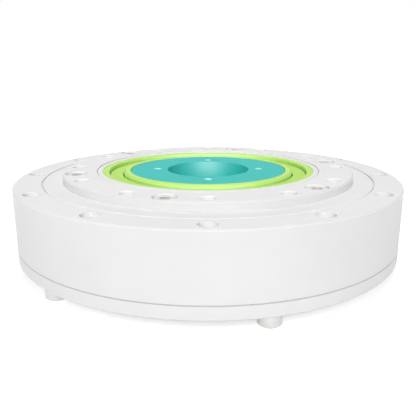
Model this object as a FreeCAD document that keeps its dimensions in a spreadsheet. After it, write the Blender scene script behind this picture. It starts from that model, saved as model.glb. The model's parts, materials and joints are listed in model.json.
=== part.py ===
import FreeCAD, Part
import Sketcher
import math
import os

from FreeCAD import Placement, Rotation, Vector

# A flat strain wave gear reducer. The axis is Z and the output faces up. Z is zero at the undersides of
# the flange screws' heads, which the reducer stands on. Angles are counted from the front, which is -Y.

SIZES = {
    # outer ring and flange
    "outer_dia": 110.0,
    "ring_height": 16.3,
    "flange_thickness": 3.5,
    "edge_chamfer": 0.4,
    "split_chamfer": 0.2,
    "foot_chamfer": 0.3,
    "ring_wall_factor": 0.095,
    "rim_hole_edge": 4.0,
    "rim_hole_dia": 4.5,
    "rim_hole_count": 12,
    # screws, one thread size throughout
    "screw_dia": 3.0,
    "screw_head_dia": 5.5,
    "screw_head_height": 3.0,
    "screw_head_edge": 0.3,
    "screw_tip_chamfer": 0.3,
    "socket_flats": 2.5,
    "socket_depth": 1.5,
    "screw_clearance": 0.2,
    "head_clearance": 0.35,
    "thread_clearance": 0.05,
    "thread_runout": 1.2,
    "screw_count": 6,
    "flange_screw_edge": 3.5,
    "flange_screw_angle": 15.0,
    "flange_screw_length": 10.0,
    "ring_screw_angle": -15.0,
    "ring_screw_length": 12.0,
    "head_recess": 0.3,
    # output boss and its edge
    "boss_wall": 0.65,
    "boss_height": 2.2,
    "counterbore_wall": 2.55,
    "output_hole_dia": 4.0,
    "output_hole_depth": 8.0,
    "output_hole_count": 12,
    "countersink": 0.15,
    "output_edge_thickness": 3.5,
    "running_gap": 0.3,
    "edge_lip_reach": 0.3,
    "edge_lip_thickness": 0.35,
    "edge_lip_gap": 0.1,
    # crossed roller bearing
    "roller_space": 6.55,
    "roller_dia_factor": 0.045,
    "roller_clearance": 0.08,
    "roller_end_clearance": 0.2,
    "roller_count": 48,
    "race_gap": 0.25,
    "race_shoulder": 0.92,
    "inner_ring_clearance": 1.195,
    "inner_ring_lift": 0.7,
    "spacer_dia_factor": 0.8,
    "spacer_gap": 0.25,
    "dowel_dia": 3.0,
    "dowel_length": 8.0,
    "dowel_fit": 0.02,
    "dowel_count": 2,
    "dowel_angle": 15.0,
    # seals
    "o_ring_section": 0.8,
    "o_ring_groove_width": 1.2,
    "o_ring_squeeze_gap": 0.05,
    "flange_o_ring_wall": 1.4,
    "split_o_ring_wall": 0.8,
    "seal_space": 2.35,
    "seal_height": 2.5,
    "seal_case_wall": 0.5,
    "seal_fit": 0.02,
    "seal_lip_clearance": 0.15,
    "seal_web_width": 1.5,
    "seal_lip_width": 0.55,
    "seal_lip_foot": 0.825,
    "seal_lip_crest": 1.1,
    "seal_lip_reach": 1.65,
    "seal_lip_root": 1.0,
    "seal_lip_drop": 0.1,
    "garter_section": 0.56,
    "garter_drop": 0.36,
    # teeth, with heights and backlash as shares of the module
    "flex_teeth_count": 100,
    "ring_teeth_count": 102,
    "flank_angle": 25.0,
    "backlash_factor": 0.096,
    "flex_addendum_factor": 0.496,
    "flex_dedendum_factor": 0.88,
    "ring_addendum_factor": 0.408,
    "ring_dedendum_factor": 0.688,
    "collar_depth": 0.7,
    "collar_clearance": 0.165,
    # flexspline
    "flex_wall": 0.5,
    "flex_top_drop": 0.2,
    "flex_collar_gap": 0.2,
    "flex_teeth_length": 9.9,
    "flex_straight_height": 5.0,
    "diaphragm_thickness": 0.6,
    "diaphragm_recess": 0.5,
    "diaphragm_span": 7.8,
    "diaphragm_slope": 0.5,
    "diaphragm_blend": 1.0,
    # flexible ball bearing
    "ball_dia": 5.159,
    "ball_clearance": 0.07,
    "ball_count": 23,
    "flex_race_width": 9.0,
    "flex_race_drop": 0.4,
    "flex_race_fit": 0.02,
    "inner_race_web": 1.441,
    "outer_race_web": 1.22,
    "inner_groove_depth": 0.44,
    "outer_groove_depth": 0.66,
    "inner_race_chamfer": 0.5,
    "outer_race_chamfer": 0.2,
    "cage_drop": 1.1,
    "cage_depth": 4.6,
    "cage_gap": 0.3,
    "cage_pocket_clearance": 0.12,
    # oval plug
    "plug_length": 11.0,
    "plug_drop": 0.5,
    "plug_step": 1.2,
    "plug_chamfer": 0.3,
    "plug_wall": 10.2,
    "plug_hole_space": 3.0,
    "plug_hole_dia": 2.5,
    "plug_hole_count": 4,
}

SAME_PLACE = 1e-6
CUT_OVERRUN = 1.0
QUARTER = 90.0

doc = FreeCAD.newDocument("strain_wave_reducer")
sheet = doc.addObject("Spreadsheet::Sheet", "Sizes")


class Size:
    """A length, angle or count: its number, and the expression on the sheet that gives it."""

    def __init__(self, value, text):
        self.value = value
        self.text = text

    def joined(self, other, sign, value):
        text = other.text if isinstance(other, Size) else str(other)
        return Size(value, f"({self.text} {sign} {text})")

    def __add__(self, other):
        return self.joined(other, "+", self.value + number(other))

    def __sub__(self, other):
        return self.joined(other, "-", self.value - number(other))

    def __mul__(self, other):
        return self.joined(other, "*", self.value * number(other))

    def __truediv__(self, other):
        return self.joined(other, "/", self.value / number(other))


def number(size):
    return size.value if isinstance(size, Size) else size


class Sizes:
    """The sheet's sizes by name."""


def fill_sheet():
    sizes = Sizes()
    for row, (name, value) in enumerate(SIZES.items(), start=1):
        sheet.set(f"A{row}", name)
        sheet.set(f"B{row}", str(value))
        sheet.setAlias(f"B{row}", name)
        setattr(sizes, name, Size(value, f"Sizes.{name}"))
    doc.recompute()
    return sizes


S = fill_sheet()

# rollers of the main bearing and the depth of their race
outer_radius = S.outer_dia / 2
roller_pitch_radius = outer_radius - S.outer_dia * S.ring_wall_factor
roller_dia = roller_pitch_radius * 2 * S.roller_dia_factor
race_depth = roller_dia * math.sqrt(0.5)
race_half_height = race_depth - S.race_gap

# heights of the main faces
flange_bottom = S.screw_head_height
flange_top = flange_bottom + S.flange_thickness
rim_top = flange_top + S.ring_height
boss_top = rim_top + S.boss_height
edge_lip_bottom = rim_top - S.edge_lip_thickness
output_edge_bottom = rim_top - S.output_edge_thickness
seal_top = output_edge_bottom - S.running_gap
recess_floor = seal_top - S.seal_height
race_plane = recess_floor - S.race_shoulder - race_half_height
inner_ring_bottom = flange_top + S.inner_ring_lift
ring_teeth_top = boss_top - S.collar_depth
head_seat = boss_top - S.head_recess - S.screw_head_height
flex_top = boss_top - S.flex_top_drop
flex_collar_bottom = ring_teeth_top + S.flex_collar_gap
flex_teeth_bottom = flex_collar_bottom - S.flex_teeth_length
flex_straight_top = flange_bottom + S.flex_straight_height
flex_race_top = boss_top - S.flex_race_drop
flex_race_bottom = flex_race_top - S.flex_race_width
ball_plane = flex_race_bottom + S.flex_race_width / 2
cage_top = flex_race_top - S.cage_drop
cage_bottom = cage_top - S.cage_depth
plug_top = boss_top - S.plug_drop
plug_bottom = plug_top - S.plug_length

# hole sizes and depths that several pieces share
screw_hole_dia = S.screw_dia + S.screw_clearance * 2
counterbore_dia = S.screw_head_dia + S.head_clearance * 2
thread_hole_dia = S.screw_dia + S.thread_clearance * 2
flange_thread_depth = S.flange_screw_length - S.flange_thickness + S.thread_runout
ring_thread_depth = S.ring_screw_length - head_seat + race_plane + S.thread_runout
dowel_hole_dia = S.dowel_dia + S.dowel_fit * 2
o_ring_groove_depth = S.o_ring_section + S.o_ring_squeeze_gap

# radii, from the outside inwards to the collar of the circular spline
rim_hole_radius = outer_radius - S.rim_hole_edge
flange_screw_radius = outer_radius - S.flange_screw_edge
outer_race_bore = roller_pitch_radius + S.race_gap
hub_radius = roller_pitch_radius - S.race_gap
flange_o_ring_radius = outer_race_bore + S.flange_o_ring_wall + S.o_ring_groove_width / 2
recess_radius = outer_race_bore + S.seal_space
output_edge_radius = recess_radius - S.running_gap
edge_lip_radius = output_edge_radius + S.edge_lip_reach
output_hole_radius = roller_pitch_radius - S.roller_space
boss_radius = output_hole_radius + counterbore_dia / 2 + S.boss_wall
collar_bore = output_hole_radius - counterbore_dia / 2 - S.counterbore_wall

# The tooth module is what fits in the collar when the flexspline's teeth reach out by the wave. The oval
# of the wave generator is four arcs with ends at 45 degrees. Every oval of the reducer is parallel to the
# others, so one is named by its mean radius: its half axes are that plus and minus the wave. The teeth
# give the flexspline's wall, and the flexible bearing and the plug follow inwards.
tooth_module = (collar_bore - S.collar_clearance) / (S.ring_teeth_count / 2 + S.flex_addendum_factor)
flex_addendum = tooth_module * S.flex_addendum_factor
flex_dedendum = tooth_module * S.flex_dedendum_factor
ring_addendum = tooth_module * S.ring_addendum_factor
ring_dedendum = tooth_module * S.ring_dedendum_factor
wave = tooth_module * (S.ring_teeth_count - S.flex_teeth_count) / 2
oval_centre = wave * (2 + math.sqrt(2))
oval_bulge = wave * (1 + math.sqrt(2))
flex_pitch_radius = tooth_module * S.flex_teeth_count / 2
ring_pitch_radius = tooth_module * S.ring_teeth_count / 2
flex_root_radius = flex_pitch_radius - flex_dedendum
flex_tip_radius = flex_pitch_radius + flex_addendum
flex_seat_radius = flex_root_radius - S.flex_wall
ring_root_radius = ring_pitch_radius + ring_dedendum
ring_tip_radius = ring_pitch_radius - ring_addendum
inner_ring_bore = ring_root_radius + S.inner_ring_clearance
split_o_ring_radius = inner_ring_bore + S.split_o_ring_wall + S.o_ring_groove_width / 2
groove_radius = S.ball_dia / 2 + S.ball_clearance
outer_race_radius = flex_seat_radius - S.flex_race_fit
ball_pitch_radius = outer_race_radius - S.outer_race_web - groove_radius
outer_shoulder = ball_pitch_radius + groove_radius - S.outer_groove_depth
inner_shoulder = ball_pitch_radius - groove_radius + S.inner_groove_depth
inner_race_bore = ball_pitch_radius - groove_radius - S.inner_race_web
plug_radius = inner_race_bore - S.flex_race_fit
plug_bore_radius = plug_radius - S.plug_wall

parts = {}


def named(obj, label):
    """Give a finished piece its name and keep it for writing."""
    obj.Label = label
    parts[label] = obj
    return obj


# sketches and features

def new_body(name):
    return doc.addObject("PartDesign::Body", name)


def origin_feature(body, role):
    return next(f for f in body.Origin.OriginFeatures if f.Role == role)


def new_sketch(body, name, role, height=None, turn=None):
    """A sketch on one of the body's own planes, raised by a height and turned about the axis."""
    sketch = body.newObject("Sketcher::SketchObject", name)
    sketch.AttachmentSupport = [(origin_feature(body, role), "")]
    sketch.MapMode = "FlatFace"
    base = Vector(0, 0, number(height) if height else 0)
    sketch.AttachmentOffset = Placement(base, Rotation(Vector(0, 0, 1), number(turn) if turn else 0))
    if height:
        sketch.setExpression("AttachmentOffset.Base.z", height.text)
    if turn:
        sketch.setExpression("AttachmentOffset.Rotation.Angle", turn.text)
    return sketch


def constrain(sketch, kind, where, size):
    index = sketch.addConstraint(Sketcher.Constraint(kind, *where, size.value))
    name = f"size_{index}"
    sketch.renameConstraint(index, name)
    sketch.setExpression(f"Constraints.{name}", size.text)


def draw_outline(sketch, corners):
    """A closed outline of straight edges, each corner held by two sizes. None is a place on an axis."""
    places = [Vector(number(x) if x else 0, number(y) if y else 0, 0) for x, y in corners]
    count = len(places)
    for i in range(count):
        sketch.addGeometry(Part.LineSegment(places[i], places[(i + 1) % count]))
    for i in range(count):
        sketch.addConstraint(Sketcher.Constraint("Coincident", i, 2, (i + 1) % count, 1))
    for i, (x, y) in enumerate(corners):
        for kind, axis, size in (("DistanceX", -2, x), ("DistanceY", -1, y)):
            if size is None:
                sketch.addConstraint(Sketcher.Constraint("PointOnObject", i, 1, axis))
            else:
                constrain(sketch, kind, (-1, 1, i, 1), size)


def turned(body, name, corners):
    """A solid of revolution about the body's Z axis."""
    sketch = new_sketch(body, f"{name}_profile", "XZ_Plane")
    draw_outline(sketch, corners)
    revolution = body.newObject("PartDesign::Revolution", name)
    revolution.Profile = sketch
    revolution.ReferenceAxis = (sketch, ["V_Axis"])
    revolution.Angle = 360
    sketch.Visibility = False
    doc.recompute()
    return revolution


def draw_circle_in_front(sketch, pitch_radius, dia):
    """A circle whose centre is in front of the axis, or on it where the pitch circle is None."""
    front = pitch_radius.value if pitch_radius else 0
    circle = sketch.addGeometry(Part.Circle(Vector(0, -front, 0), Vector(0, 0, 1), dia.value / 2))
    constrain(sketch, "Diameter", (circle,), dia)
    if pitch_radius:
        sketch.addConstraint(Sketcher.Constraint("PointOnObject", circle, 3, -2))
        constrain(sketch, "DistanceY", (circle, 3, -1, 1), pitch_radius)
    else:
        sketch.addConstraint(Sketcher.Constraint("Coincident", circle, 3, -1, 1))


def holes(body, name, top, dia, depth=None, pitch_radius=None, count=None, turn=None, upwards=False):
    """Round holes cut from a height, down or upwards, to a depth or right through."""
    sketch = new_sketch(body, f"{name}_plan", "XY_Plane", top, turn)
    draw_circle_in_front(sketch, pitch_radius, dia)
    before = body.Tip.Shape.Volume
    pocket = body.newObject("PartDesign::Pocket", name)
    pocket.Profile = sketch
    pocket.Reversed = upwards
    if depth is None:
        pocket.Type = "ThroughAll"
    else:
        pocket.Length = depth.value
        pocket.setExpression("Length", depth.text)
    sketch.Visibility = False
    doc.recompute()
    last = pocket
    if count:
        last = body.newObject("PartDesign::PolarPattern", f"{name}_pattern")
        last.Originals = [pocket]
        last.Axis = (sketch, ["N_Axis"])
        last.Angle = 360
        last.Occurrences = count.value
        last.setExpression("Occurrences", count.text)
        body.Tip = last
        doc.recompute()
    if not last.Shape.Volume < before:
        raise RuntimeError(f"{name} cut nothing")
    return last


def circle_edges(body, radii, height):
    """The names of a body's circular edges that have one of these radii at this height."""
    names = []
    for i, edge in enumerate(body.Tip.Shape.Edges, start=1):
        curve = edge.Curve
        if isinstance(curve, Part.Circle) and abs(curve.Center.z - height.value) < SAME_PLACE:
            if any(abs(curve.Radius - radius.value) < SAME_PLACE for radius in radii):
                names.append(f"Edge{i}")
    return names


def soften(body, kind, name, edges, measure, size):
    """A fillet or chamfer on a body's edges."""
    feature = body.newObject(kind, name)
    feature.Base = (feature.BaseFeature or body.Tip, edges)
    setattr(feature, measure, size.value)
    feature.setExpression(measure, size.text)
    body.Tip = feature
    doc.recompute()


def torus(label, pitch_radius, section, height):
    ring = doc.addObject("Part::Torus", label)
    ring.setExpression("Radius1", pitch_radius.text)
    ring.setExpression("Radius2", (section / 2).text)
    ring.setExpression("Placement.Base.z", height.text)
    return named(ring, label)


def shape_object(name, shape):
    obj = doc.addObject("Part::Feature", name)
    obj.Shape = shape
    obj.Placement = Placement()
    return obj


def ring_of(shape, count, start=0.0, step=None):
    """Copies of a shape that stands in front of the axis, spread round it."""
    step = step or 360.0 / count
    axis = Vector(0, 0, 1)
    copies = [shape.rotated(Vector(), axis, start + step * i) for i in range(count)]
    return Part.makeCompound(copies)


# ovals

def oval_arcs():
    """The oval's four arcs as (centre, change of radius, angle where the arc starts)."""
    reach, bulge = oval_centre.value, oval_bulge.value
    return [
        (Vector(reach, 0, 0), -bulge, -QUARTER / 2),
        (Vector(0, -reach, 0), bulge, QUARTER / 2),
        (Vector(-reach, 0, 0), -bulge, QUARTER * 1.5),
        (Vector(0, reach, 0), bulge, QUARTER * 2.5),
    ]


def direction(degrees):
    return Vector(math.cos(math.radians(degrees)), math.sin(math.radians(degrees)), 0)


def oval_place(mean_radius, path_radius, share):
    """A point of an oval and the direction it faces, at a share of the length of its path oval."""
    arcs = oval_arcs()
    quarter = math.radians(QUARTER)
    run = share * 2 * math.pi * path_radius + (path_radius + arcs[0][1]) * quarter / 2
    for centre, change, start in arcs + arcs[:1]:
        length = (path_radius + change) * quarter
        if run <= length:
            break
        run -= length
    facing = start + math.degrees(run / (path_radius + change))
    return centre + direction(facing) * (mean_radius + change), facing


def oval_wire(mean_radius, height):
    arcs = []
    for centre, change, start in oval_arcs():
        circle = Part.Circle(centre + Vector(0, 0, height), Vector(0, 0, 1), mean_radius + change)
        arcs.append(Part.ArcOfCircle(circle, math.radians(start), math.radians(start + QUARTER)).toShape())
    return Part.Wire(arcs)


def circle_wire(radius, height):
    """A circle in four arcs, which match the arcs of an oval."""
    circle = Part.Circle(Vector(0, 0, height), Vector(0, 0, 1), radius)
    starts = [math.radians(start) for _, _, start in oval_arcs()]
    quarter = math.radians(QUARTER)
    return Part.Wire([Part.ArcOfCircle(circle, start, start + quarter).toShape() for start in starts])


def ring_between(outer_wire, inner_wire, height):
    face = Part.makeFace([outer_wire, inner_wire], "Part::FaceMakerBullseye")
    return face.extrude(Vector(0, 0, height))


def around_oval(profile):
    """A profile in the XZ plane, drawn at its mean radius, carried once round the oval."""
    axis = Vector(0, 0, 1)
    sectors = []
    for centre, change, start in oval_arcs():
        face = profile.translated(Vector(change, 0, 0)).rotated(Vector(), axis, start)
        sectors.append(face.revolve(Vector(), axis, QUARTER).translated(centre))
    return sectors[0].multiFuse(sectors[1:]).Solids[0]


def profile_face(corners, groove=None):
    """A face in the XZ plane. A groove is an arc: the corner that it starts from, and its deepest place."""
    edges = []
    for corner, following in zip(corners, corners[1:] + corners[:1]):
        start, end = Vector(corner[0], 0, corner[1]), Vector(following[0], 0, following[1])
        if groove and corner == groove[0]:
            deepest = Vector(groove[1][0], 0, groove[1][1])
            edges.append(Part.Arc(start, deepest, end).toShape())
        else:
            edges.append(Part.makeLine(start, end))
    return Part.Face(Part.Wire(edges))


# outer ring of the main bearing

def v_groove(bore, apex):
    """The corners of a 45 degree race, from its upper edge to its lower one."""
    return [
        (bore, race_plane + race_half_height),
        (apex, race_plane),
        (bore, race_plane - race_half_height),
    ]


def o_ring_groove(pitch_radius, face, floor):
    """The corners of a square groove, outwards along a flat face."""
    inner = pitch_radius - S.o_ring_groove_width / 2
    outer = pitch_radius + S.o_ring_groove_width / 2
    return [(inner, face), (inner, floor), (outer, floor), (outer, face)]


def make_outer_ring():
    body = new_body("bearing_outer_ring")
    corners = [
        (outer_race_bore, flange_top),
        *o_ring_groove(flange_o_ring_radius, flange_top, flange_top + o_ring_groove_depth),
        (outer_radius - S.split_chamfer, flange_top),
        (outer_radius, flange_top + S.split_chamfer),
        (outer_radius, rim_top - S.edge_chamfer),
        (outer_radius - S.edge_chamfer, rim_top),
        (edge_lip_radius + S.running_gap, rim_top),
        (edge_lip_radius + S.running_gap, edge_lip_bottom - S.edge_lip_gap),
        (recess_radius, edge_lip_bottom - S.edge_lip_gap),
        (recess_radius, recess_floor),
        (outer_race_bore, recess_floor),
        *v_groove(outer_race_bore, roller_pitch_radius + race_depth),
    ]
    turned(body, "outer_ring_blank", corners)
    holes(body, "rim_holes", rim_top, S.rim_hole_dia, None, rim_hole_radius, S.rim_hole_count)
    holes(body, "flange_threads", flange_top, thread_hole_dia, flange_thread_depth,
          flange_screw_radius, S.screw_count, S.flange_screw_angle, upwards=True)
    return named(body, "bearing_outer_ring")


# inner ring of the main bearing, the lower half of its race

def make_inner_ring():
    body = new_body("bearing_inner_ring")
    corners = [
        (inner_ring_bore + S.split_chamfer, inner_ring_bottom),
        (hub_radius - S.split_chamfer, inner_ring_bottom),
        (hub_radius, inner_ring_bottom + S.split_chamfer),
        (hub_radius, race_plane - race_half_height),
        (roller_pitch_radius - race_depth, race_plane),
        *reversed(o_ring_groove(split_o_ring_radius, race_plane, race_plane - o_ring_groove_depth)),
        (inner_ring_bore, race_plane),
        (inner_ring_bore, inner_ring_bottom + S.split_chamfer),
    ]
    turned(body, "inner_ring_blank", corners)
    holes(body, "ring_threads", race_plane, thread_hole_dia, ring_thread_depth,
          output_hole_radius, S.screw_count, S.ring_screw_angle)
    holes(body, "dowel_holes", race_plane, dowel_hole_dia, S.dowel_length / 2,
          output_hole_radius, S.dowel_count, S.dowel_angle)
    return named(body, "bearing_inner_ring")


# circular spline: the output boss, its edge, the upper half of the inner race and the internal teeth

def tooth_half_width(from_pitch):
    """Half a tooth's thickness, at a height from its pitch line towards its root."""
    pitch_line = tooth_module.value * math.pi
    at_pitch = pitch_line / 4 - tooth_module.value * S.backlash_factor.value / 2
    return at_pitch + from_pitch * math.tan(math.radians(S.flank_angle.value))


def tooth_corners(root, dedendum, tip, addendum):
    """A tooth's four corners, each as a radius and a shift to the side."""
    root_half = tooth_half_width(dedendum.value)
    tip_half = tooth_half_width(-addendum.value)
    return [(root, -root_half), (tip, -tip_half), (tip, tip_half), (root, root_half)]


def ring_tooth_outline(height):
    """The toothed bore as a closed outline, with a tooth space on the X axis."""
    tooth = tooth_corners(ring_root_radius.value, ring_dedendum, ring_tip_radius.value, ring_addendum)
    corners = []
    for i in range(S.ring_teeth_count.value):
        facing = 360.0 * (i + 0.5) / S.ring_teeth_count.value
        for radius, shift in tooth:
            place = direction(facing) * radius + direction(facing + QUARTER) * shift
            corners.append(place + Vector(0, 0, height))
    return Part.makePolygon(corners + corners[:1])


def make_circular_spline():
    body = new_body("circular_spline_blank")
    blank_bore = ring_tip_radius - ring_addendum
    corners = [
        (blank_bore, race_plane),
        (roller_pitch_radius - race_depth, race_plane),
        (hub_radius, race_plane + race_half_height),
        (hub_radius, output_edge_bottom),
        (output_edge_radius, output_edge_bottom),
        (output_edge_radius, edge_lip_bottom),
        (edge_lip_radius, edge_lip_bottom),
        (edge_lip_radius, rim_top - S.split_chamfer),
        (edge_lip_radius - S.split_chamfer, rim_top),
        (boss_radius, rim_top),
        (boss_radius, boss_top - S.edge_chamfer),
        (boss_radius - S.edge_chamfer, boss_top),
        (collar_bore, boss_top),
        (collar_bore, ring_teeth_top),
        (blank_bore, ring_teeth_top),
    ]
    turned(body, "spline_blank", corners)
    holes(body, "output_holes", boss_top, S.output_hole_dia, S.output_hole_depth,
          output_hole_radius, S.output_hole_count)
    holes(body, "ring_screw_holes", boss_top, screw_hole_dia, None,
          output_hole_radius, S.screw_count, S.ring_screw_angle)
    holes(body, "counterbores", boss_top, counterbore_dia, S.head_recess + S.screw_head_height,
          output_hole_radius, S.screw_count, S.ring_screw_angle)
    holes(body, "dowel_seats", race_plane, dowel_hole_dia, S.dowel_length / 2,
          output_hole_radius, S.dowel_count, S.dowel_angle, upwards=True)
    mouths = circle_edges(body, (S.output_hole_dia / 2,), boss_top)
    soften(body, "PartDesign::Chamfer", "countersinks", mouths, "Size", S.countersink)
    bottom = race_plane.value - CUT_OVERRUN
    top = ring_teeth_top.value + CUT_OVERRUN
    teeth = Part.Face(ring_tooth_outline(bottom)).extrude(Vector(0, 0, top - bottom))
    spline = doc.addObject("Part::Cut", "circular_spline")
    spline.Base = body
    spline.Tool = shape_object("toothed_bore", teeth)
    return named(spline, "circular_spline")


# flexspline: flange, diaphragm, thin cup that goes from round to oval, and the external teeth

def flex_tooth_outline(height):
    """The toothed rim's outside, with a tooth on the X axis. Teeth are spread evenly along the wall."""
    wall_middle = (flex_root_radius - S.flex_wall / 2).value
    tooth = tooth_corners(flex_root_radius.value, flex_dedendum, flex_tip_radius.value, flex_addendum)
    corners = []
    for i in range(S.flex_teeth_count.value):
        for radius, shift in tooth:
            place, facing = oval_place(radius, wall_middle, i / S.flex_teeth_count.value)
            corners.append(place + direction(facing + QUARTER) * shift + Vector(0, 0, height))
    return Part.makePolygon(corners + corners[:1])


def flex_cup():
    """The cup above its straight foot: round at the bottom, oval and toothed at the top."""
    root, seat = flex_root_radius.value, flex_seat_radius.value
    foot, teeth = flex_straight_top.value, flex_teeth_bottom.value
    collar, top = flex_collar_bottom.value, flex_top.value
    outside = Part.makeLoft([circle_wire(root, foot), oval_wire(root, teeth)], True, True)
    inside = Part.makeLoft([circle_wire(seat, foot), oval_wire(seat, teeth)], True, True)
    rim = ring_between(flex_tooth_outline(teeth), oval_wire(seat, teeth), collar - teeth)
    plain = ring_between(oval_wire(flex_tip_radius.value, collar), oval_wire(seat, collar), top - collar)
    return outside.cut(inside).multiFuse([rim, plain])


def make_flexspline():
    body = new_body("flexspline_foot")
    flange_bore = flex_root_radius + S.diaphragm_span
    recess = flange_bottom + S.diaphragm_recess
    diaphragm_top = recess + S.diaphragm_thickness
    corners = [
        (flex_seat_radius, recess),
        (flange_bore - S.diaphragm_slope, recess),
        (flange_bore, flange_bottom),
        (outer_radius - S.foot_chamfer, flange_bottom),
        (outer_radius, flange_bottom + S.foot_chamfer),
        (outer_radius, flange_top - S.split_chamfer),
        (outer_radius - S.split_chamfer, flange_top),
        (flange_bore + S.diaphragm_slope, flange_top),
        (flange_bore, flange_top - S.diaphragm_slope),
        (flange_bore, diaphragm_top),
        (flex_root_radius, diaphragm_top),
        (flex_root_radius, flex_straight_top),
        (flex_seat_radius, flex_straight_top),
    ]
    turned(body, "flange_blank", corners)
    inner_edges = circle_edges(body, (flex_root_radius, flange_bore), diaphragm_top)
    soften(body, "PartDesign::Fillet", "diaphragm_blends", inner_edges, "Radius", S.diaphragm_blend)
    holes(body, "flange_rim_holes", flange_top, S.rim_hole_dia, None, rim_hole_radius, S.rim_hole_count)
    holes(body, "flange_screw_holes", flange_top, screw_hole_dia, None,
          flange_screw_radius, S.screw_count, S.flange_screw_angle)
    flexspline = doc.addObject("Part::Fuse", "flexspline")
    flexspline.Base = body
    flexspline.Tool = shape_object("flex_cup", flex_cup())
    return named(flexspline, "flexspline")


# screws

def make_screw(name, length):
    """A socket head screw on the Z axis, with the underside of its head at the screw's length."""
    body = new_body(f"{name}_blank")
    radius, head = S.screw_dia / 2, S.screw_head_dia / 2
    top = length + S.screw_head_height
    corners = [
        (None, None),
        (radius - S.screw_tip_chamfer, None),
        (radius, S.screw_tip_chamfer),
        (radius, length),
        (head, length),
        (head, top - S.screw_head_edge),
        (head - S.screw_head_edge, top),
        (None, top),
    ]
    turned(body, f"{name}_turning", corners)
    socket = doc.addObject("Part::Prism", f"{name}_socket")
    socket.Polygon = 6
    socket.setExpression("Circumradius", (S.socket_flats / math.sqrt(3)).text)
    socket.setExpression("Height", S.socket_depth.text)
    socket.setExpression("Placement.Base.z", (top - S.socket_depth).text)
    screw = doc.addObject("Part::Cut", f"{name}_model")
    screw.Base = body
    screw.Tool = socket
    doc.recompute()
    return screw.Shape


def make_screws():
    ring_place = Vector(0, -output_hole_radius.value, head_seat.value - S.ring_screw_length.value)
    ring_screw = make_screw("ring_screw", S.ring_screw_length).translated(ring_place)
    flange_place = Vector(0, -flange_screw_radius.value, flange_bottom.value + S.flange_screw_length.value)
    flange_screw = make_screw("flange_screw", S.flange_screw_length)
    flange_screw = flange_screw.rotated(Vector(), Vector(1, 0, 0), 180).translated(flange_place)
    count = S.screw_count.value
    named(shape_object("ring_screws", ring_of(ring_screw, count, S.ring_screw_angle.value)), "ring_screws")
    named(shape_object("flange_screws", ring_of(flange_screw, count, S.flange_screw_angle.value)),
          "flange_screws")


# crossed rollers, their spacers and the dowel pins

def make_rollers():
    count = S.roller_count.value
    step = 360.0 / count
    radius = roller_dia.value / 2 - S.roller_clearance.value
    length = roller_dia.value - 2 * S.roller_end_clearance.value
    spacer_radius = roller_dia.value * S.spacer_dia_factor.value / 2
    middle = Vector(0, -roller_pitch_radius.value, race_plane.value)
    for label, lean, start in (("rollers_up", -1, 0.0), ("rollers_down", 1, step)):
        axis = Vector(0, lean, 1).normalize()
        roller = Part.makeCylinder(radius, length, middle - axis * (length / 2), axis)
        named(shape_object(label, ring_of(roller, count // 2, start, 2 * step)), label)
    spread = 2 * roller_pitch_radius.value * math.sin(math.radians(step / 2))
    thickness = spread - 2 * (radius + S.spacer_gap.value)
    corner = middle - Vector(thickness / 2, 0, 0)
    spacer = Part.makeCylinder(spacer_radius, thickness, corner, Vector(1, 0, 0))
    named(shape_object("roller_spacers", ring_of(spacer, count, step / 2)), "roller_spacers")


def make_dowels():
    clear = S.dowel_fit.value
    length = S.dowel_length.value - 2 * clear
    foot = Vector(0, -output_hole_radius.value, race_plane.value - length / 2)
    pin = Part.makeCylinder(S.dowel_dia.value / 2, length, foot)
    pins = ring_of(pin, S.dowel_count.value, S.dowel_angle.value)
    named(shape_object("dowel_pins", pins), "dowel_pins")


# seals

def make_seals():
    torus("flange_o_ring", flange_o_ring_radius, S.o_ring_section, flange_top + S.o_ring_section / 2)
    torus("split_o_ring", split_o_ring_radius, S.o_ring_section, race_plane - S.o_ring_section / 2)
    wall = S.seal_case_wall
    outside = recess_radius - S.seal_fit
    web = outside - wall - S.seal_web_width
    case = new_body("seal_case")
    turned(case, "case_ring", [
        (web, recess_floor),
        (outside, recess_floor),
        (outside, seal_top),
        (outside - wall, seal_top),
        (outside - wall, recess_floor + wall),
        (web, recess_floor + wall),
    ])
    named(case, "seal_case")
    tip = hub_radius + S.seal_lip_clearance
    width = S.seal_lip_width
    base = recess_floor + wall + S.seal_fit
    back = outside - wall - S.seal_fit
    top = seal_top - S.seal_lip_drop
    lip = new_body("seal_lip")
    turned(lip, "lip_ring", [
        (tip + S.seal_lip_foot, base),
        (back, base),
        (back, base + S.seal_lip_root),
        (tip + S.seal_lip_reach, base + S.seal_lip_root),
        (tip + S.seal_lip_crest, top),
        (tip + width, top),
        (tip, top - width),
        (tip + width, base + width),
    ])
    named(lip, "seal_lip")
    torus("garter_spring", tip + S.seal_lip_reach, S.garter_section, seal_top - S.garter_drop)


# flexible ball bearing

def make_flex_race(label, back, shoulder, deepest, edge):
    """A race with a plain back and, at its shoulder, the groove for the balls."""
    bottom, top, middle = flex_race_bottom.value, flex_race_top.value, ball_plane.value
    half = math.sqrt(groove_radius.value**2 - (ball_pitch_radius.value - shoulder) ** 2)
    eased = shoulder + math.copysign(edge, back - shoulder)
    groove_start = (shoulder, middle - half)
    profile = [
        (back, bottom),
        (eased, bottom),
        (shoulder, bottom + edge),
        groove_start,
        (shoulder, middle + half),
        (shoulder, top - edge),
        (eased, top),
        (back, top),
    ]
    race = around_oval(profile_face(profile, (groove_start, (deepest, middle))))
    return named(shape_object(label, race), label)


def make_flex_races():
    inner_deepest = (ball_pitch_radius - groove_radius).value
    outer_deepest = (ball_pitch_radius + groove_radius).value
    make_flex_race("flex_bearing_inner_race", inner_race_bore.value, inner_shoulder.value,
                   inner_deepest, S.inner_race_chamfer.value)
    make_flex_race("flex_bearing_outer_race", outer_race_radius.value, outer_shoulder.value,
                   outer_deepest, S.outer_race_chamfer.value)


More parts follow.
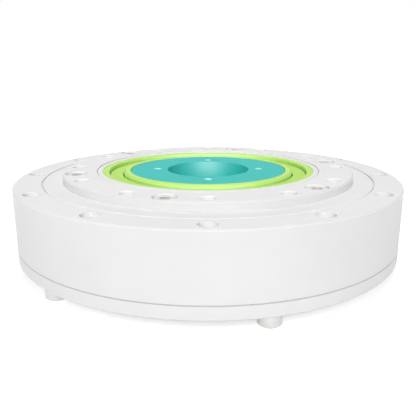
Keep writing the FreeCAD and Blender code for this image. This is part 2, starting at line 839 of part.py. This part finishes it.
def ball_places():
    count, pitch = S.ball_count.value, ball_pitch_radius.value
    lift = Vector(0, 0, ball_plane.value)
    return [oval_place(pitch, pitch, i / count)[0] + lift for i in range(count)]


def make_balls_and_cage():
    radius = S.ball_dia.value / 2
    balls = [Part.makeSphere(radius, place) for place in ball_places()]
    named(shape_object("bearing_balls", Part.makeCompound(balls)), "bearing_balls")
    inside = (inner_shoulder + S.cage_gap).value
    outside = (outer_shoulder - S.cage_gap).value
    bottom, top = cage_bottom.value, cage_top.value
    blank = around_oval(profile_face([(inside, bottom), (outside, bottom), (outside, top), (inside, top)]))
    pocket = radius + S.cage_pocket_clearance.value
    cage = blank.cut([Part.makeSphere(pocket, place) for place in ball_places()])
    named(shape_object("ball_cage", cage.Solids[0]), "ball_cage")


# oval plug with its lower shoulder, bore and tapped holes

def make_plug():
    bottom, seat, top = plug_bottom.value, flex_race_bottom.value, plug_top.value
    edge = S.plug_chamfer.value
    shoulder = (plug_radius + S.plug_step).value
    radius = plug_radius.value
    inside = (plug_bore_radius - wave * 2).value
    ring = around_oval(profile_face([
        (inside, bottom),
        (shoulder - edge, bottom),
        (shoulder, bottom + edge),
        (shoulder, seat),
        (radius, seat),
        (radius, top - edge),
        (radius - edge, top),
        (inside, top),
    ]))
    body = new_body("wave_plug")
    body.BaseFeature = shape_object("plug_oval", ring)
    doc.recompute()
    holes(body, "plug_bore", plug_top, plug_bore_radius * 2)
    holes(body, "plug_holes", plug_top, S.plug_hole_dia, None,
          plug_bore_radius + S.plug_hole_space, S.plug_hole_count)
    return named(body, "wave_plug")


def write_parts():
    doc.recompute()
    for obj in doc.Objects:
        if "Invalid" in obj.State or "Error" in obj.State:
            raise RuntimeError(f"{obj.Label} failed: {obj.State}")
    for label, obj in parts.items():
        if obj.Shape.isNull() or not obj.Shape.isValid():
            raise RuntimeError(f"{label} has no valid shape")
    os.makedirs("parts", exist_ok=True)
    for label, obj in parts.items():
        obj.Shape.exportStep(os.path.join("parts", f"{label}.step"))


make_outer_ring()
make_inner_ring()
make_circular_spline()
make_flexspline()
make_screws()
make_rollers()
make_dowels()
make_seals()
make_flex_races()
make_balls_and_cage()
make_plug()
write_parts()
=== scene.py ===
import json
import math

import bmesh
import bpy
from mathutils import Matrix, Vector


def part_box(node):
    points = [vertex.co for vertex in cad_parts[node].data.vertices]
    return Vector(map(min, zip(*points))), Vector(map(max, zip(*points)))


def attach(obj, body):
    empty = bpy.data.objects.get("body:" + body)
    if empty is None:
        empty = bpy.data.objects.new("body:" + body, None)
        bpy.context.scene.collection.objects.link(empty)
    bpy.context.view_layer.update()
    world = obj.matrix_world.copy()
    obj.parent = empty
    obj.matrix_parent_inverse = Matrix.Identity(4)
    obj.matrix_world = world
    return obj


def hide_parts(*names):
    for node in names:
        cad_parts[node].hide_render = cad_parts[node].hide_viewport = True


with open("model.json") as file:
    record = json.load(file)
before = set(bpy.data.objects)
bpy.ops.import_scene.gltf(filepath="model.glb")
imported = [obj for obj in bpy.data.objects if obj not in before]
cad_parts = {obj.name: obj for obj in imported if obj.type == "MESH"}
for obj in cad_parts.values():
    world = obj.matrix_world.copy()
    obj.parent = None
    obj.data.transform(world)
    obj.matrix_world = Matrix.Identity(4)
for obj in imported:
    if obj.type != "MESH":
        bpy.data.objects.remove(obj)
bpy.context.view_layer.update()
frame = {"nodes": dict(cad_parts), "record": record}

# A flat strain wave reducer in its studio. All lengths are in metres, with the axis along Z.

MM = 0.001

# what the frame gives: the outer ring's corners, the sizes of the mounts and the nodes
RING_LOW, RING_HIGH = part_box("bearing_outer_ring")
MOUNTS = {mount["name"]: mount["dims"] for mount in frame["record"]["mounts"]}
nodes = frame["nodes"]

# camera, at the photograph's place and angle
CAMERA_PLACE = (0.0, -150.26 * MM, 53.15 * MM)
CAMERA_PITCH = math.radians(74.811)
SENSOR_WIDTH = 36.0
LENS = 44.313
CLIP_START = 10 * MM

# where the flexspline's wall is round, between its flange and its oval rim
FLEX_SPLIT = 7.5 * MM

# the seam between the outer ring and the flange, and how far its painted shade and the full core of that
# reach
SEAM_HEIGHT = RING_LOW.z
SEAM_RADIUS = RING_HIGH.x - 0.3 * MM
SEAM_REACH = 0.2 * MM
SEAM_CORE = 0.6 * SEAM_REACH

# walls and holes by their distance from the axis, and how far they reach on both sides of it
OUTER_WALL = (RING_HIGH.x, 0.6 * MM)
RIM_HOLES = (MOUNTS["rim_bolts"]["pcd_mm"] / 2 * MM, 2.6 * MM)
BOSS_WALL = (41.75 * MM, 0.4 * MM)
OUTPUT_HOLES = (MOUNTS["output_bolts"]["pcd_mm"] / 2 * MM, 3.3 * MM)
COLLAR_GAP = (31.8 * MM, 1.3 * MM)
PLUG_TAPS = (MOUNTS["input_bolts"]["pcd_mm"] / 2 * MM, 1.5 * MM)
PLUG_BORE = (MOUNTS["input_bore"]["r_mm"] * MM, 0.5 * MM)

# a face counts as level where the part of its normal along the axis is at least this
LEVEL_FROM = 0.8

# how well a softened normal agrees with the true one on a flat face and on a sharp edge
FLAT_MATCH = 0.995
EDGE_MATCH = 0.80
BEVEL_SAMPLES = 6

# where most values of a noise lie
NOISE_SPREAD = (0.3, 0.7)

# how high the grain of a coat is beside its turning lines
COAT_GRAIN = 0.6

# how much lighter steel is where it is rubbed, and how much white the dust adds on moulded edges
RUBBED_GAIN = 1.15
DUST_SHARE = 0.12

# the floor, which glows white far out and half as much round the object, where its shadow lies
FLOOR_RADIUS = 12.0
FLOOR_SIDES = 96
FLOOR_DROP = 0.02 * MM
FLOOR_TINTS = ((0.79, 0.79, 0.79, 1), (0.81, 0.81, 0.81, 1))
SHADOW_REACH = 75 * MM
WHITE_FROM = 140 * MM
SHADOW_GLOW = 0.5

# the point that the lamps are aimed at
LAMP_AIM = Vector((0, 0, 12 * MM))

# the gloss strips: how far off and how far up they stand, their own height, and the turn of the side ones
STRIP_DISTANCE = 1.15
STRIP_LIFT = 0.25
STRIP_HEIGHT = 0.3
SIDE_TURN = math.radians(50)


class Shader:
    """The nodes of a material or world, with short ways to add and join them."""

    def __init__(self, owner):
        owner.use_nodes = True
        self.owner = owner
        self.tree = owner.node_tree
        self.bsdf = self.tree.nodes.get("Principled BSDF")

    def feed(self, socket, value):
        """Join a socket to another one, or set its value."""
        if isinstance(value, bpy.types.NodeSocket):
            self.tree.links.new(value, socket)
        else:
            socket.default_value = value

    def node(self, kind, inputs, **settings):
        """A new node with its settings and inputs."""
        node = self.tree.nodes.new(kind)
        for key, value in settings.items():
            setattr(node, key, value)
        for key, value in inputs.items():
            self.feed(node.inputs[key], value)
        return node

    def math(self, operation, first, second=0.0, third=0.0, clamp=False):
        inputs = {0: first, 1: second, 2: third}
        return self.node("ShaderNodeMath", inputs, operation=operation, use_clamp=clamp).outputs[0]

    def vector(self, operation, inputs):
        return self.node("ShaderNodeVectorMath", inputs, operation=operation).outputs

    def upward(self, vector):
        """The part of a vector along the axis."""
        return self.node("ShaderNodeSeparateXYZ", {0: vector}).outputs["Z"]

    def between(self, value, low, high, to_low=0.0, to_high=1.0):
        """A value's place between two others, carried over to a new range."""
        inputs = {
            "Value": value, "From Min": low, "From Max": high, "To Min": to_low, "To Max": to_high,
        }
        return self.node("ShaderNodeMapRange", inputs).outputs[0]

    def noise(self, where, scale, detail=3.0, roughness=0.5):
        inputs = {"Vector": where, "Scale": scale, "Detail": detail, "Roughness": roughness}
        return self.node("ShaderNodeTexNoise", inputs).outputs["Fac"]

    def mix(self, share, first, second):
        """A colour between two others. The node's sockets for colours are 6, 7 and the output 2."""
        inputs = {0: share, 6: first, 7: second}
        return self.node("ShaderNodeMix", inputs, data_type="RGBA").outputs[2]

    def scale(self, colour, share):
        return self.vector("SCALE", {0: colour, "Scale": share})[0]

    def places(self):
        """The object's own coordinates, and how far out and how far up a point is."""
        where = self.node("ShaderNodeTexCoord", {}).outputs["Object"]
        flat = self.vector("MULTIPLY", {0: where, 1: (1, 1, 0)})[0]
        out = self.vector("LENGTH", {0: flat})["Value"]
        return where, out, self.upward(where)

    def walls(self):
        """One on upright faces and chamfers, nought on level faces."""
        faces = self.node("ShaderNodeNewGeometry", {}).outputs["True Normal"]
        return self.math("LESS_THAN", self.math("ABSOLUTE", self.upward(faces)), LEVEL_FROM)

    def wall_at(self, upright, out, distance, reach):
        """One on the walls that stand within reach of a distance from the axis."""
        return self.math("MULTIPLY", upright, self.math("COMPARE", out, distance, reach))

    def seen(self):
        """One for rays that look at a surface, nought for the light that it spreads."""
        path = self.node("ShaderNodeLightPath", {}).outputs
        looks = self.math("MAXIMUM", path["Is Camera Ray"], path["Is Glossy Ray"])
        return self.math("MAXIMUM", looks, path["Is Transmission Ray"])

    def edges(self, radius):
        """A softened normal, and a mask that grows towards sharp edges."""
        bevel = self.node("ShaderNodeBevel", {"Radius": radius}, samples=BEVEL_SAMPLES).outputs[0]
        true = self.node("ShaderNodeNewGeometry", {}).outputs["Normal"]
        facing = self.vector("DOT_PRODUCT", {0: bevel, 1: true})["Value"]
        return bevel, self.between(facing, FLAT_MATCH, EDGE_MATCH)

    def bump(self, height, strength, distance, normal):
        inputs = {"Height": height, "Strength": strength, "Distance": distance, "Normal": normal}
        return self.node("ShaderNodeBump", inputs).outputs[0]

    def finish(self, colour, roughness, normal):
        self.feed(self.bsdf.inputs["Base Color"], colour)
        self.feed(self.bsdf.inputs["Roughness"], roughness)
        self.feed(self.bsdf.inputs["Normal"], normal)


def new_shader(name):
    return Shader(bpy.data.materials.new(name))


def turned_marks(shader, out, up, pitch):
    """Fine turning lines: rings on flat faces and bands round walls."""
    along = shader.math("ADD", out, up)
    lines = shader.node("ShaderNodeCombineXYZ", {"X": along}).outputs[0]
    return shader.noise(lines, scale=1.0 / pitch, detail=2.0, roughness=0.6)


def coated_metal(name, colour, shade, bare_and_edge_highlight, roughness, specular, painted_seam_shade=None, painted_shade_walls=(), painted_light_walls=()):
    """A satin coat on turned metal, a little mottled and worn along the edges, where the lighter colour
    is partly a painted edge highlight.

    The roughness is given for level faces and for walls, which are turned finer. There may be painted
    shade in the seam. Some walls keep only a share of the colour, as painted shade, and the walls of some
    holes and gaps have a lighter colour of their own, as painted light. Both are given with their places:
    the distance from the axis and the reach.
    """
    shader = new_shader(name)
    where, out, up = shader.places()
    upright = shader.walls()
    normal, edge = shader.edges(radius=0.09 * MM)
    cloud = shader.noise(where, scale=55.0, detail=4.0, roughness=0.6)
    grain = shader.noise(where, scale=3800.0, detail=2.0, roughness=0.7)
    marks = turned_marks(shader, out, up, pitch=0.35 * MM)
    tint = shader.mix(shader.between(cloud, low=0.35, high=0.68), shade, colour)
    wear = shader.noise(where, scale=900.0, detail=3.0, roughness=0.6)
    scuffs = shader.between(wear, low=0.52, high=0.66)
    # worn edges take a lighter colour: partly real wear, partly a painted edge highlight
    tint = shader.mix(shader.math("MULTIPLY", edge, scuffs, clamp=True), tint, bare_and_edge_highlight)
    # painted shade: darker in the seam between the outer ring and the flange
    if painted_seam_shade:
        from_seam = shader.math("ABSOLUTE", shader.math("SUBTRACT", up, SEAM_HEIGHT))
        near = shader.between(from_seam, SEAM_REACH, SEAM_CORE)
        outside = shader.math("GREATER_THAN", out, SEAM_RADIUS)
        tint = shader.mix(shader.math("MULTIPLY", near, outside), tint, painted_seam_shade)
    # painted shade: some walls keep only a share of the colour
    for share, place in painted_shade_walls:
        tint = shader.mix(shader.wall_at(upright, out, *place), tint, shader.scale(tint, share))
    # painted light: the walls of some holes and gaps get a lighter colour of their own
    for own_colour, place in painted_light_walls:
        tint = shader.mix(shader.wall_at(upright, out, *place), tint, own_colour)
    rough = shader.between(upright, 0.0, 1.0, *roughness)
    rough = shader.math("ADD", rough, shader.between(grain, *NOISE_SPREAD, to_low=-0.05, to_high=0.07))
    rough = shader.math("ADD", rough, shader.between(cloud, *NOISE_SPREAD, to_low=-0.03, to_high=0.03))
    height = shader.math("ADD", marks, shader.math("MULTIPLY", grain, COAT_GRAIN))
    shader.finish(tint, rough, shader.bump(height, strength=0.22, distance=0.05 * MM, normal=normal))
    shader.bsdf.inputs["Specular IOR Level"].default_value = specular
    return shader.owner


def plain_steel(name, colour, dark, roughness, metallic):
    """Steel with faint stains, and edges that have been rubbed bright."""
    shader = new_shader(name)
    where, out, up = shader.places()
    normal, edge = shader.edges(radius=0.1 * MM)
    cloud = shader.noise(where, scale=320.0, detail=4.0, roughness=0.6)
    grain = shader.noise(where, scale=6000.0, detail=2.0, roughness=0.7)
    marks = turned_marks(shader, out, up, pitch=0.2 * MM)
    stained = shader.mix(shader.between(cloud, low=0.32, high=0.7), dark, colour)
    bright = tuple(min(1.0, part * RUBBED_GAIN) for part in colour[:3]) + (1.0,)
    tint = shader.mix(edge, stained, bright)
    rough = shader.between(grain, *NOISE_SPREAD, roughness - 0.06, roughness + 0.08)
    height = shader.math("ADD", marks, grain)
    shader.finish(tint, rough, shader.bump(height, strength=0.12, distance=0.03 * MM, normal=normal))
    shader.bsdf.inputs["Metallic"].default_value = metallic
    return shader.owner


def moulded(name, colour, shade, roughness, grain_scale, grain_depth):
    """Rubber or plastic with a fine moulded grain and a little dust."""
    shader = new_shader(name)
    where = shader.places()[0]
    normal, edge = shader.edges(radius=0.08 * MM)
    cloud = shader.noise(where, scale=180.0, detail=4.0, roughness=0.6)
    grain = shader.noise(where, scale=grain_scale, detail=3.0, roughness=0.6)
    clean = shader.mix(shader.between(cloud, low=0.35, high=0.7), shade, colour)
    dusty = tuple(part + (1.0 - part) * DUST_SHARE for part in colour[:3]) + (1.0,)
    tint = shader.mix(edge, clean, dusty)
    rough = shader.between(grain, *NOISE_SPREAD, roughness - 0.08, roughness + 0.06)
    shader.finish(tint, rough, shader.bump(grain, grain_depth, distance=0.05 * MM, normal=normal))
    return shader.owner


# painted light: lighter colours on the walls of holes and gaps, and on the plug's bore and tapped holes,
# in place of the shade that falls in them
hole_painted_light = (0.97, 0.97, 0.965, 1)
bore_painted_light = (0.012, 0.58, 0.543, 1)
tap_painted_highlight = (0.36, 0.90, 0.87, 1)

white = coated_metal(
    "white_coat",
    colour=(0.875, 0.875, 0.872, 1),
    shade=(0.845, 0.845, 0.843, 1),
    # a lighter colour on worn edges, partly a painted edge highlight
    bare_and_edge_highlight=(0.92, 0.92, 0.91, 1),
    roughness=(0.8, 0.45),
    specular=0.2,
    # painted shade in the seam between the outer ring and the flange
    painted_seam_shade=(0.62, 0.62, 0.615, 1),
    # painted shade on the outer wall and the boss wall
    painted_shade_walls=((0.91, OUTER_WALL), (0.87, BOSS_WALL)),
    # painted light on the walls of the rim holes, the output holes and the collar gap
    painted_light_walls=((hole_painted_light, RIM_HOLES), (hole_painted_light, OUTPUT_HOLES), (hole_painted_light, COLLAR_GAP)),
)
teal = coated_metal(
    "teal_coat",
    colour=(0.02, 0.505, 0.465, 1),
    shade=(0.017, 0.48, 0.441, 1),
    bare_and_edge_highlight=(0.11, 0.60, 0.565, 1),
    roughness=(0.9, 0.56),
    specular=0.55,
    # painted light on the walls of the bore, and a painted highlight on the walls of the tapped holes
    painted_light_walls=((bore_painted_light, PLUG_BORE), (tap_painted_highlight, PLUG_TAPS)),
)
green = coated_metal(
    "green_coat",
    colour=(0.405, 0.68, 0.078, 1),
    shade=(0.377, 0.65, 0.064, 1),
    bare_and_edge_highlight=(0.56, 0.81, 0.28, 1),
    roughness=(0.9, 0.62),
    specular=1.0,
)
screw_steel = plain_steel(
    "screw_steel",
    colour=(0.72, 0.71, 0.695, 1),
    dark=(0.65, 0.64, 0.625, 1),
    roughness=0.42,
    metallic=0.5,
)
ground_steel = plain_steel(
    "ground_steel",
    colour=(0.70, 0.70, 0.71, 1),
    dark=(0.60, 0.60, 0.61, 1),
    roughness=0.24,
    metallic=1.0,
)
rubber = moulded(
    "black_rubber",
    colour=(0.035, 0.035, 0.036, 1),
    shade=(0.022, 0.022, 0.022, 1),
    roughness=0.72,
    grain_scale=2600.0,
    grain_depth=0.12,
)
plastic = moulded(
    "spacer_plastic",
    colour=(0.78, 0.74, 0.64, 1),
    shade=(0.72, 0.68, 0.57, 1),
    roughness=0.5,
    grain_scale=3200.0,
    grain_depth=0.06,
)

FINISHES = {
    "bearing_outer_ring": white,
    "circular_spline": white,
    "flexspline": white,
    "bearing_inner_ring": white,
    "flange_screws": screw_steel,
    "ring_screws": screw_steel,
    "dowel_pins": ground_steel,
    "rollers_up": ground_steel,
    "rollers_down": ground_steel,
    "bearing_balls": ground_steel,
    "garter_spring": ground_steel,
    "seal_case": ground_steel,
    "seal_lip": rubber,
    "flange_o_ring": rubber,
    "split_o_ring": rubber,
    "roller_spacers": plastic,
    "flex_bearing_outer_race": green,
    "flex_bearing_inner_race": green,
    "ball_cage": green,
    "wave_plug": teal,
}

for node_name, material in FINISHES.items():
    mesh = nodes[node_name].data
    mesh.materials.clear()
    mesh.materials.append(material)


# the pieces that flex: they keep the wave generator's oval as it turns

def copy_of(node_name, name):
    """A new piece with a copy of a node's mesh."""
    piece = bpy.data.objects.new(name, nodes[node_name].data.copy())
    bpy.context.scene.collection.objects.link(piece)
    return piece


def cut_at(piece, height, keep_top):
    """Cut a piece at a height and keep what is above or below."""
    mesh = bmesh.new()
    mesh.from_mesh(piece.data)
    everything = mesh.verts[:] + mesh.edges[:] + mesh.faces[:]
    bmesh.ops.bisect_plane(
        mesh, geom=everything, plane_co=(0, 0, height), plane_no=(0, 0, 1),
        clear_inner=keep_top, clear_outer=not keep_top,
    )
    mesh.to_mesh(piece.data)
    mesh.free()


flange = copy_of("flexspline", "flexspline_flange")
cut_at(flange, FLEX_SPLIT, keep_top=False)
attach(flange, "housing")
cup = copy_of("flexspline", "flexspline_cup")
cut_at(cup, FLEX_SPLIT, keep_top=True)
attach(cup, "wave_generator")
outer_race = copy_of("flex_bearing_outer_race", "flex_race_outer")
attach(outer_race, "wave_generator")
for piece, node_name, slot in (
    (flange, "flexspline", "steel_white"),
    (cup, "flexspline", "steel_white"),
    (outer_race, "flex_bearing_outer_race", "bearing_green"),
):
    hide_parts(node_name)


# studio

def make_floor():
    """A plain pale floor. It looks white and keeps the object's soft shadow."""
    bpy.ops.mesh.primitive_circle_add(
        vertices=FLOOR_SIDES, radius=FLOOR_RADIUS, fill_type="NGON", location=(0, 0, -FLOOR_DROP),
    )
    floor = bpy.context.object
    floor.name = "floor"
    shader = new_shader("floor_paper")
    where, out, _ = shader.places()
    paper = shader.mix(shader.noise(where, scale=40.0), *FLOOR_TINTS)
    shader.feed(shader.bsdf.inputs["Base Color"], paper)
    shader.bsdf.inputs["Roughness"].default_value = 0.95
    shader.bsdf.inputs["Specular IOR Level"].default_value = 0.0
    lift = shader.between(out, SHADOW_REACH, WHITE_FROM, to_low=SHADOW_GLOW)
    strength = shader.math("MULTIPLY", shader.seen(), lift)
    glow = shader.node("ShaderNodeEmission", {"Strength": strength})
    both = shader.node("ShaderNodeAddShader", {0: shader.bsdf.outputs[0], 1: glow.outputs[0]})
    shader.feed(shader.tree.nodes["Material Output"].inputs["Surface"], both.outputs[0])
    floor.data.materials.append(shader.owner)


def make_world(strength, reflected):
    """An even surround: white where it is seen or reflected, and gentle as light."""
    world = bpy.data.worlds.new("studio")
    bpy.context.scene.world = world
    shader = Shader(world)
    background = shader.tree.nodes["Background"]
    background.inputs["Color"].default_value = (1, 1, 1, 1)
    path = shader.node("ShaderNodeLightPath", {}).outputs
    soft = shader.between(path["Is Glossy Ray"], 0.0, 1.0, strength, reflected)
    looks = shader.math("MAXIMUM", path["Is Camera Ray"], path["Is Transmission Ray"])
    shader.feed(background.inputs["Strength"], shader.math("MAXIMUM", soft, looks))


def soft_lamp(name, place, width, height, power):
    """A soft box aimed at the middle of the object."""
    data = bpy.data.lights.new(name, "AREA")
    data.shape = "RECTANGLE"
    data.size = width
    data.size_y = height
    data.energy = power
    lamp = bpy.data.objects.new(name, data)
    lamp.location = place
    aim = LAMP_AIM - Vector(place)
    lamp.rotation_euler = aim.to_track_quat("-Z", "Y").to_euler()
    bpy.context.scene.collection.objects.link(lamp)
    return lamp


def gloss_strip(name, turn, width, power, pieces):
    """A strip at a turn from the front that shows only as gloss, and only on some pieces."""
    place = (STRIP_DISTANCE * math.sin(turn), -STRIP_DISTANCE * math.cos(turn), STRIP_LIFT)
    strip = soft_lamp(name, place, width, STRIP_HEIGHT, power)
    strip.visible_diffuse = False
    receivers = bpy.data.collections.new(name)
    for piece in pieces:
        receivers.objects.link(piece)
    strip.light_linking.receiver_collection = receivers


def make_camera():
    """A camera at the photograph's place and angle."""
    data = bpy.data.cameras.new("camera")
    data.sensor_width = SENSOR_WIDTH
    data.lens = LENS
    data.clip_start = CLIP_START
    camera = bpy.data.objects.new("camera", data)
    camera.location = CAMERA_PLACE
    camera.rotation_euler = (CAMERA_PITCH, 0, 0)
    bpy.context.scene.collection.objects.link(camera)
    bpy.context.scene.camera = camera


make_floor()
make_world(strength=0.08, reflected=1.0)
soft_lamp("key_box", place=(-0.05, -1.05, 0.56), width=0.6, height=0.6, power=10.4)
for name, side in (("left_box", -1), ("right_box", 1)):
    soft_lamp(name, place=(side * 0.95, -0.2, 0.28), width=0.5, height=0.5, power=1.0)
soft_lamp("top_box", place=(0.0, 0.1, 1.2), width=0.6, height=0.6, power=5.5)

# a fill from behind, which leaves no gloss on the flat tops
back = soft_lamp("back_box", place=(0.0, 1.0, 0.4), width=0.8, height=0.5, power=4.4)
back.visible_glossy = False

# gloss for the coloured pieces
lips = [outer_race, nodes["flex_bearing_inner_race"], nodes["ball_cage"]]
gloss_strip("front_strip", turn=0, width=1.3, power=70.0, pieces=lips + [nodes["wave_plug"]])
for name, side in (("left_strip", -1), ("right_strip", 1)):
    gloss_strip(name, turn=side * SIDE_TURN, width=0.9, power=18.0, pieces=lips)

make_camera()
bpy.context.scene.view_settings.view_transform = "Standard"
